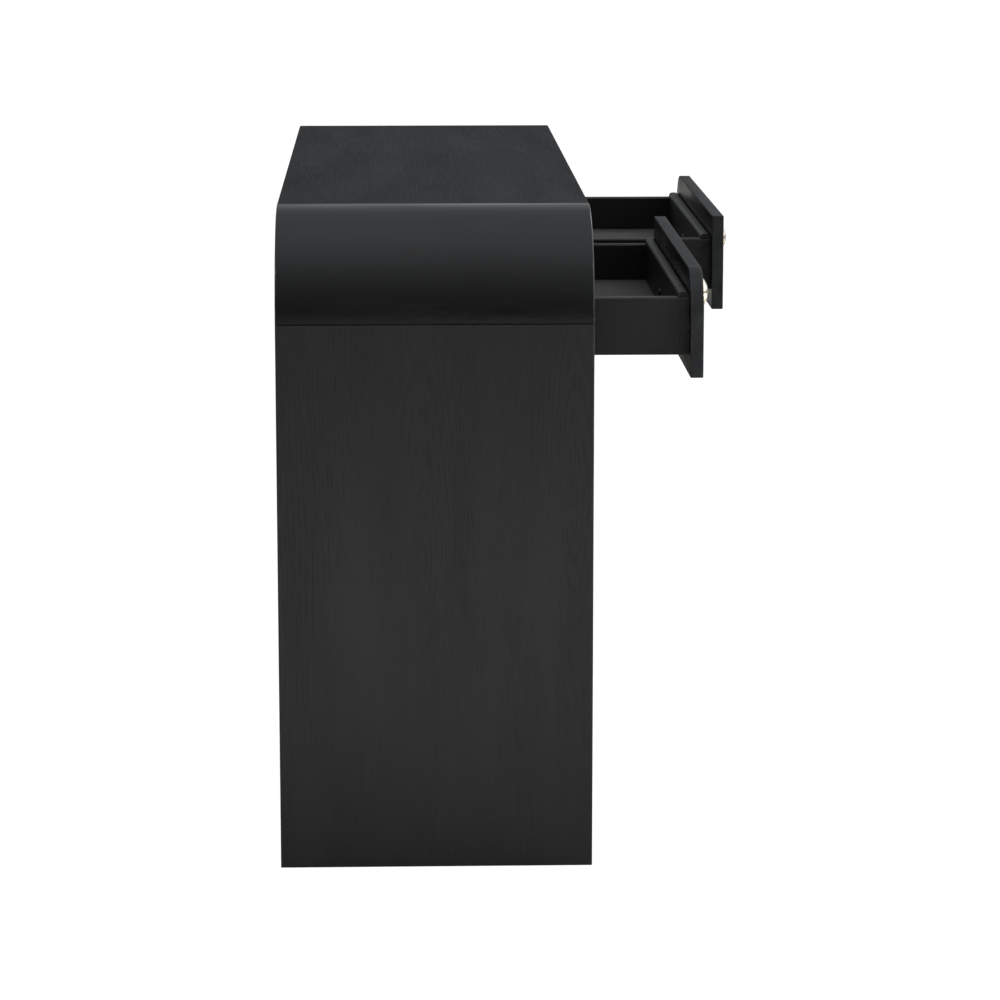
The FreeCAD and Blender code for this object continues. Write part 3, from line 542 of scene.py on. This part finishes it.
def corner_piece(side):
    """Quarter-round corner: a rounded section swept through a right angle, with a narrow
    square groove at its lower end, where it meets the end panel."""
    node = side + "_corner"
    low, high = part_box(node)
    sign = -1 if side == "left" else 1
    radius = high.z - low.z
    inner = radius - SHELL
    pivot_x = high.x if side == "left" else low.x
    groove = SEAM_WIDTH / radius
    lip = SEAM_EASE / radius
    turns = [(0.0, SEAM_DEPTH), (groove, SEAM_DEPTH), (groove, SEAM_EASE), (groove + lip, 0.0)]
    turns += [(math.pi / 2 * step / CORNER_STEPS, 0.0) for step in range(2, CORNER_STEPS + 1)]
    shape = new_shape()
    rows = []
    for turn, inset in turns:
        outline = rounded([(inner, low.y, INNER_EASE), (radius - inset, low.y, OUTER_EASE),
                           (radius - inset, high.y, OUTER_EASE), (inner, high.y, INNER_EASE)],
                          EASE_STEPS)
        rows.append([shape.verts.new((pivot_x + sign * p.x * math.cos(turn), p.y,
                                      low.z + p.x * math.sin(turn))) for p in outline])
    for first, second in zip(rows, rows[1:]):
        for i in range(len(first)):
            j = (i + 1) % len(first)
            shape.faces.new((first[i], first[j], second[j], second[i]))
    shape.faces.new(rows[0])
    shape.faces.new(list(reversed(rows[-1])))
    bmesh.ops.recalc_face_normals(shape, faces=shape.faces)
    narrow = [f for f in shape.faces
              if max(e.calc_length() for e in f.edges) < WIDEST_EASED_FACE
              and abs(f.normal.y) < SQUARE_ON]
    mark(shape, narrow)
    return ship(side + "_corner_smooth", shape, "carcass", node, "lacquer")


def is_slanted(face):
    """Whether a face looks along none of the three axes."""
    return max(abs(part) for part in face.normal) < SQUARE_ON


def top_skin():
    """Top panel with its long edges eased."""
    low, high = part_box("top_panel")
    outline = rounded([(low.y, low.z, 0), (high.y, low.z, 0), (high.y, high.z, OUTER_EASE),
                       (low.y, high.z, OUTER_EASE)], EASE_STEPS)
    shape = prism(outline, lambda a, b, t: (t, a, b), low.x, high.x)
    mark(shape, [f for f in shape.faces if is_slanted(f)])
    return ship("top_panel_veneered", shape, "carcass", "top_panel", "top")


def leg_skin(side):
    """End panel with eased upright edges and a small easing under the seam."""
    node = side + "_leg_outer_panel"
    low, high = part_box(node)
    outer = low.x if side == "left" else high.x
    inner = high.x if side == "left" else low.x
    outline = rounded([(outer, low.y, OUTER_EASE), (inner, low.y, 0), (inner, high.y, 0),
                       (outer, high.y, OUTER_EASE)], EASE_STEPS)
    shape = prism(outline, lambda a, b, t: (a, b, t), low.z, high.z)
    mark(shape, [f for f in shape.faces if is_slanted(f)])

    def seam(edge):
        return all(abs(v.co.z - high.z) < TOUCH and abs(v.co.x - outer) < TOUCH
                   for v in edge.verts)

    ease(shape, SEAM_EASE, 2, seam)
    return ship(side + "_end_panel_veneered", shape, "carcass", node,
                "leg_" + side)


# ---------------------------------------------------------------- drawers

FRONT_EASE = 1.5 * MM
FRONT_CORNER = 2.0 * MM
LARGE_ARC_STEPS = 28
SIDE_ROUNDING = 2.5 * MM
INNER_ROUNDING = 5.0 * MM
JOINT_EASE = 0.2 * MM
FINGERS = 5
LONGEST_JOINT_EDGE = 20 * MM
SHORTEST_TOP_EDGE = 0.1


def outer_front(side):
    """Drawer front with one large rounded top corner and eased edges all round."""
    node = side + "_drawer_front"
    low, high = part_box(node)
    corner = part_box("left_corner")
    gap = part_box("top_underside")[0].z - high.z
    large = corner[1].z - corner[0].z - SHELL - gap
    left_radius = large if side == "left" else FRONT_CORNER
    right_radius = FRONT_CORNER if side == "left" else large
    outline = rounded([(low.x, low.z, FRONT_CORNER), (high.x, low.z, FRONT_CORNER),
                       (high.x, high.z, right_radius), (low.x, high.z, left_radius)],
                      LARGE_ARC_STEPS)
    shape = prism(outline, lambda a, b, t: (a, t, b), low.y, high.y)
    ease(shape, FRONT_EASE, 4)
    veneer, edges, back = range(3)
    for face in shape.faces:
        if face.normal.y < -SQUARE_ON:
            face.material_index = veneer
        elif face.normal.y > SQUARE_ON:
            face.material_index = back
        else:
            face.material_index = edges
    piece = ship(side + "_front_veneered", shape, side + "_drawer", node,
                 "front_" + side)
    piece.data.materials.append(LOOKS["front_edge"])
    piece.data.materials.append(LOOKS["front_back"])
    return piece


def finger_edge(near, deep, bottom, top, side_top, first_reaches):
    """Points up a board's end in a finger joint. A finger reaches the plane called near and
    a socket stops at the plane called deep."""
    pitch = (side_top - bottom) / FINGERS
    points = []
    for i in range(FINGERS):
        reach = near if (i % 2 == 0) == first_reaches else deep
        points.append(Vector((reach, bottom + pitch * i)))
        points.append(Vector((reach, bottom + pitch * (i + 1))))
    if top > side_top:
        points.append(Vector((near, side_top)))
        points.append(Vector((near, top)))
    return points


def is_joint_edge(edge):
    """Whether an edge is short enough to belong to a finger joint."""
    return edge.calc_length() < LONGEST_JOINT_EDGE


def ease_board(shape, top, rounding, segments):
    """Round the long edges along a board's top, and ease its finger joints a little."""

    def along_top(edge):
        return (all(v.co.z > top - TOUCH for v in edge.verts)
                and edge.calc_length() > SHORTEST_TOP_EDGE)

    ease(shape, rounding, segments, along_top)
    ease(shape, JOINT_EASE, 2, is_joint_edge)


def box_side(side, which):
    """Side board with a rounded top edge and the fingers of the corner joint."""
    node = side + "_drawer_" + which + "_side"
    low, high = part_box(node)
    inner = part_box(side + "_drawer_inner_front")
    joint = finger_edge(low.y, inner[1].y, low.z, high.z, high.z, True)
    outline = [Vector((high.y, low.z)), Vector((high.y, high.z))] + list(reversed(joint))
    shape = prism(outline, lambda a, b, t: (t, a, b), low.x, high.x)
    ease_board(shape, high.z, SIDE_ROUNDING, 4)
    return ship(side + "_drawer_" + which + "_board", shape, side + "_drawer", node,
                "box_y")


def inner_board(side):
    """Inner front with a rounded top that stands above the sides, and its fingers."""
    node = side + "_drawer_inner_front"
    low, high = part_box(node)
    side_low, side_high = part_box(side + "_drawer_left_side")
    thick = side_high.x - side_low.x
    left = finger_edge(low.x, low.x + thick, low.z, high.z, side_high.z, False)
    right = finger_edge(high.x, high.x - thick, low.z, high.z, side_high.z, False)
    shape = prism(right + list(reversed(left)), lambda a, b, t: (a, t, b), low.y, high.y)
    ease_board(shape, high.z, INNER_ROUNDING, 6)
    return ship(side + "_drawer_inner_board", shape, side + "_drawer", node,
                "box_x")


# ---------------------------------------------------------------- knobs and screws

KNOB_BASE = (9.0 * MM, 1.0 * MM)
KNOB_COVE = (7.2 * MM, 2.5 * MM)
KNOB_NECK = (6.5 * MM, 6.0 * MM)
KNOB_NECK_END = (6.5 * MM, 12.0 * MM)
KNOB_FLARE = (11.0 * MM, 17.5 * MM)
KNOB_RIM_START = 20.5 * MM
KNOB_RIM_END = 24.5 * MM
KNOB_EASE = 1.0 * MM
KNOB_DOME_STEPS = 24
KNOB_TURN_STEPS = 96


def curve(first, middle, last, steps):
    """Points of a smooth curve through three places, without its last one."""
    points = []
    for step in range(steps):
        s = step / steps
        weights = ((1 - s) * (1 - 2 * s), 4 * s * (1 - s), s * (2 * s - 1))
        points.append(tuple(sum(w * p[i] for w, p in zip(weights, (first, middle, last)))
                            for i in (0, 1)))
    return points


def turned_knob(side):
    """Round knob: base, neck, flared back, rim and domed face, turned about one axis."""
    node = side + "_drawer_knob"
    low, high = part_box(node)
    middle = (low + high) / 2
    reach = high.y - low.y
    radius = (high.x - low.x) / 2
    face = radius - KNOB_EASE
    rise = reach - KNOB_RIM_END
    ball = (face ** 2 + rise ** 2) / (2 * rise)
    profile = [(0, 0), (KNOB_BASE[0], 0)]
    profile += curve(KNOB_BASE, KNOB_COVE, KNOB_NECK, 10)
    profile += curve(KNOB_NECK, ((KNOB_NECK[0] + KNOB_NECK_END[0]) / 2,
                                 (KNOB_NECK[1] + KNOB_NECK_END[1]) / 2), KNOB_NECK_END, 3)
    profile += curve(KNOB_NECK_END, KNOB_FLARE, (face, KNOB_RIM_START), 16)
    profile += curve((face, KNOB_RIM_START), (radius, (KNOB_RIM_START + KNOB_RIM_END) / 2),
                     (face, KNOB_RIM_END), 10)
    for step in range(KNOB_DOME_STEPS):
        r = face * math.cos(math.pi / 2 * step / KNOB_DOME_STEPS)
        profile.append((r, reach - ball + math.sqrt(ball ** 2 - r ** 2)))
    profile.append((0, reach))
    shape = turned(profile, Vector((middle.x, high.y, middle.z)), Vector((0, -1, 0)),
                   KNOB_TURN_STEPS)
    return ship(side + "_knob_turned", shape, side + "_drawer", node,
                "knob_" + side)


# A screw's own proportions, as shares of its head's radius and of the recess's depth.
SHANK_SHARE = 0.47
RECESS_SHARE = 0.55
PAN_HEAD = ((0.72, 0.0), (0.92, 0.30), (1.0, 0.65), (1.0, 1.0))
FLAT_HEAD = ((0.94, 0.0), (1.0, 0.10))
HEAD_UNDERSIDE = 1.05
CROSS_MOUTH = (0.58, 0.13)
CROSS_FLOOR = (0.22, 0.07)
CROSS_DEPTH = 0.8
TIP_SHARE = 0.15
SCREW_STEPS = 40


def solids(node):
    """Corner points of each separate solid in a CAD node."""
    shape = new_shape(NODES[node].data)
    left = dict.fromkeys(shape.verts)
    groups = []
    while left:
        group = [left.popitem()[0]]
        for vert in group:
            for edge in vert.link_edges:
                other = edge.other_vert(vert)
                if other in left:
                    del left[other]
                    group.append(other)
        groups.append([vert.co.copy() for vert in group])
    shape.free()
    return groups


def add_screw(shape, points, pan):
    """One screw with a cross recess, in place of a CAD solid with these points."""
    low = Vector([min(p[i] for p in points) for i in range(3)])
    high = Vector([max(p[i] for p in points) for i in range(3)])
    size = high - low
    long_way = max(range(3), key=lambda i: size[i])
    middle = (low + high) / 2
    axis = Vector((0, 0, 0))
    axis[long_way] = 1.0

    def spread(level):
        near = [p for p in points if abs(p[long_way] - level) < 2 * TOUCH]
        return max((p - middle - axis * (p - middle).dot(axis)).length for p in near)

    if spread(low[long_way]) > spread(high[long_way]):
        top = low[long_way]
    else:
        top = high[long_way]
        axis.negate()
    centre = middle.copy()
    centre[long_way] = top
    length = size[long_way]
    head = min(size[i] for i in range(3) if i != long_way) / 2
    shank = head * SHANK_SHARE
    deep = head * RECESS_SHARE
    outer = [(head * a, deep * b) for a, b in (PAN_HEAD if pan else FLAT_HEAD)]
    outer += [(shank, deep * HEAD_UNDERSIDE), (shank, length - shank * 2),
              (shank * TIP_SHARE, length)]
    side_way = axis.orthogonal().normalized()
    up_way = axis.cross(side_way)

    def spot(a, b, distance):
        return shape.verts.new(centre + side_way * a + up_way * b + axis * distance)

    def ring(radius, distance):
        turns = [2 * math.pi * k / SCREW_STEPS for k in range(SCREW_STEPS)]
        return [spot(radius * math.cos(t), radius * math.sin(t), distance) for t in turns]

    def cross(arm, half, distance):
        quarter = [(arm, half), (half, half), (half, arm)]
        places = []
        for turn in range(4):
            for a, b in quarter:
                for _ in range(turn):
                    a, b = -b, a
                places.append(spot(a, b, distance))
        return places

    def wall(first, second):
        count = len(first)
        for k in range(count):
            n = (k + 1) % count
            shape.faces.new((first[k], first[n], second[n], second[k]))

    rings = [ring(*place) for place in outer]
    for first, second in zip(rings, rings[1:]):
        wall(first, second)
    shape.faces.new(rings[-1])
    mouth = cross(*(head * share for share in CROSS_MOUTH), 0.0)
    floor = cross(*(head * share for share in CROSS_FLOOR), deep * CROSS_DEPTH)
    wall(mouth, floor)
    shape.faces.new(floor)
    rim_edges = []
    for loop in (rings[0], mouth):
        for k in range(len(loop)):
            pair = (loop[k], loop[(k + 1) % len(loop)])
            rim_edges.append(shape.edges.get(pair) or shape.edges.new(pair))
    bmesh.ops.triangle_fill(shape, edges=rim_edges, use_beauty=True)


def screws(node, pan=False):
    """Screws with cross recesses, in place of a CAD node's plain ones."""
    shape = new_shape()
    for points in solids(node):
        add_screw(shape, points, pan)
    bmesh.ops.recalc_face_normals(shape, faces=shape.faces)
    return ship(node + "_recessed", shape, body_of(node), node, "steel")


# ---------------------------------------------------------------- build

top_skin()
for side in SIDES:
    drawer = side + "_drawer_"
    corner_piece(side)
    leg_skin(side)
    outer_front(side)
    inner_board(side)
    box_side(side, "left")
    box_side(side, "right")
    turned_knob(side)
    screws(drawer + "knob_screw", pan=True)
    screws(drawer + "front_screws")
    eased_copy(side + "_leg_inner_panel", "leg_inner")
    eased_copy(side + "_leg_front_stile", "edge_z")
    eased_copy(side + "_leg_back_stile", "edge_z")
    eased_copy(side + "_kickers", "bay_y")
    eased_copy(drawer + "back", "box_x")
    eased_copy(drawer + "stop_tab", "box_x")
    dress(side + "_leg_rails", "timber")
    dress(drawer + "bottom", "bottom")
    for which in ("outer", "inner"):
        eased_copy(side + "_" + which + "_runner", "bay_y")
        eased_copy(side + "_" + which + "_guide", "bay_y")
for node, look in {"top_underside": "edge_x", "top_front_rail": "edge_x", "top_back_rail": "edge_x",
                   "bay_floor": "bay_x", "back_panel": "bay_x", "centre_divider": "bay_y",
                   "closing_stops": "bay_x", "pull_out_stops": "bay_x"}.items():
    eased_copy(node, look)
screws("floor_screws")
screws("back_panel_screws")
dress("top_ribs", "timber")
dress("corner_dowels", "timber")
dress("foot_glides", "plastic")

# ---------------------------------------------------------------- studio

SHADOW_SHARE = 0.15
FLOOR_REACH = 60.0


def studio_floor():
    """Large plain floor. Seen straight on it is nearly white, with a trace of shadow, and from
    below it can be looked through."""
    far = FLOOR_REACH
    corners = [(-far, -far, 0), (far, -far, 0), (far, far, 0), (-far, far, 0)]
    mesh = bpy.data.meshes.new("floor")
    mesh.from_pydata(corners, [], [(0, 1, 2, 3)])
    shader = Shader("pale_floor")
    shader.surface.inputs["Base Color"].default_value = (0.51, 0.48, 0.435, 1)
    shader.surface.inputs["Roughness"].default_value = 0.9
    shader.surface.inputs["Specular IOR Level"].default_value = 0.1
    glow = shader.node("ShaderNodeEmission", {"Color": grey(1.0), "Strength": 1.2})
    seen = shader.node("ShaderNodeLightPath").outputs["Is Camera Ray"]
    share = shader.maths("MULTIPLY", seen, 1 - SHADOW_SHARE)
    blend = shader.node("ShaderNodeMixShader", {0: share, 1: shader.surface.outputs[0],
                                                2: glow.outputs[0]})
    clear = shader.node("ShaderNodeBsdfTransparent")
    below = shader.node("ShaderNodeNewGeometry").outputs["Backfacing"]
    sided = shader.node("ShaderNodeMixShader", {0: below, 1: blend.outputs[0],
                                                2: clear.outputs[0]})
    shader.put(shader.tree.nodes["Material Output"].inputs["Surface"], sided.outputs[0])
    mesh.materials.append(shader.material)
    floor = bpy.data.objects.new("studio_floor", mesh)
    bpy.context.scene.collection.objects.link(floor)


# Brightness of the studio against the sine of the height above the horizon.
FAR_SKY = ((0.0, 0.39), (0.16, 0.45), (0.36, 0.38), (0.56, 0.32), (0.72, 0.36), (0.92, 0.60),
           (1.0, 0.74))
NEAR_SKY = ((0.0, 0.12), (0.20, 0.14), (0.53, 0.25), (0.79, 0.45), (0.95, 0.75), (1.0, 0.80))
FRONT_SKY = (1.40, 1.44, 1.50, 1)
BACK_SKY = (0.56, 0.60, 0.66, 1)


def studio_world():
    """Studio that is dim at the table's ends, brighter at its front and back, and brightest
    overhead. Seen straight on it is plain white, like the floor."""
    world = bpy.data.worlds.new("studio")
    world.use_nodes = True
    graph = Graph(world.node_tree)
    x, y, z = graph.split(graph.node("ShaderNodeTexCoord").outputs["Generated"])[:3]

    def by_height(stops):
        ramp = graph.node("ShaderNodeValToRGB", {0: z})
        ramp.color_ramp.interpolation = "B_SPLINE"
        elements = ramp.color_ramp.elements
        while len(elements) < len(stops):
            elements.new(0.5)
        for element, (position, level) in zip(elements, stops):
            element.position = position
            element.color = grey(level, -0.03)
        return ramp.outputs[0]

    ends = graph.mix(graph.remap(x, -0.5, 0.5), by_height(NEAR_SKY), by_height(FAR_SKY))
    sky = graph.mix(graph.remap(y, 0.45, 0.85), ends, BACK_SKY)
    sky = graph.mix(graph.remap(y, -0.30, -0.75), sky, FRONT_SKY)
    seen = graph.node("ShaderNodeLightPath").outputs["Is Camera Ray"]
    background = world.node_tree.nodes["Background"]
    graph.put(background.inputs["Color"], graph.mix(seen, sky, grey(1.0)))
    bpy.context.scene.world = world


def softbox(name, place, target, size, power, spread=180, colour=(1, 1, 1)):
    """Square area light of a size in metres and a power in watts that faces a point, its grid
    narrowing the beam to a spread in degrees."""
    light = bpy.data.lights.new(name, "AREA")
    light.shape = "SQUARE"
    light.size = size
    light.energy = power
    light.spread = math.radians(spread)
    light.color = colour
    lamp = bpy.data.objects.new(name, light)
    lamp.location = place
    lamp.rotation_euler = (Vector(target) - Vector(place)).to_track_quat("-Z", "Y").to_euler()
    bpy.context.scene.collection.objects.link(lamp)


def studio_camera():
    """Long lens beyond the table's left end and above its top, looking a little down."""
    data = bpy.data.cameras.new("camera")
    data.lens = 128.6
    data.sensor_width = 36.0
    data.clip_end = 200.0
    camera = bpy.data.objects.new("camera", data)
    camera.location = (-4.904, 0.1765, 1.2545)
    pitch = math.radians(10.73)
    yaw = math.radians(1.754)
    forward = Vector((math.cos(pitch) * math.cos(yaw), -math.cos(pitch) * math.sin(yaw),
                      -math.sin(pitch)))
    camera.rotation_euler = forward.to_track_quat("-Z", "Y").to_euler()
    bpy.context.scene.collection.objects.link(camera)
    bpy.context.scene.camera = camera


COOL = (0.81, 0.88, 1.0)
studio_floor()
studio_world()
# The first two make a pool of light on the floor beyond the table's left end, and the third
# one in front of it. The last one lights the table itself from beyond its right end.
softbox("front_softbox", (-2.2, -3.6, 2.8), (-2.4, -0.5, 0), 1.6, 25.0, 40, COOL)
softbox("back_softbox", (-2.2, 3.9, 2.8), (-2.4, -0.2, 0), 1.6, 17.0, 40, COOL)
softbox("low_front_softbox", (0.6, -3.4, 3.0), (0.6, -3.3, 0), 2.0, 130.0, 80)
softbox("far_softbox", (2.6, -2.4, 3.0), (0.1, -0.1, 0.5), 1.6, 18.0)
studio_camera()
bpy.context.scene.view_settings.view_transform = "Standard"
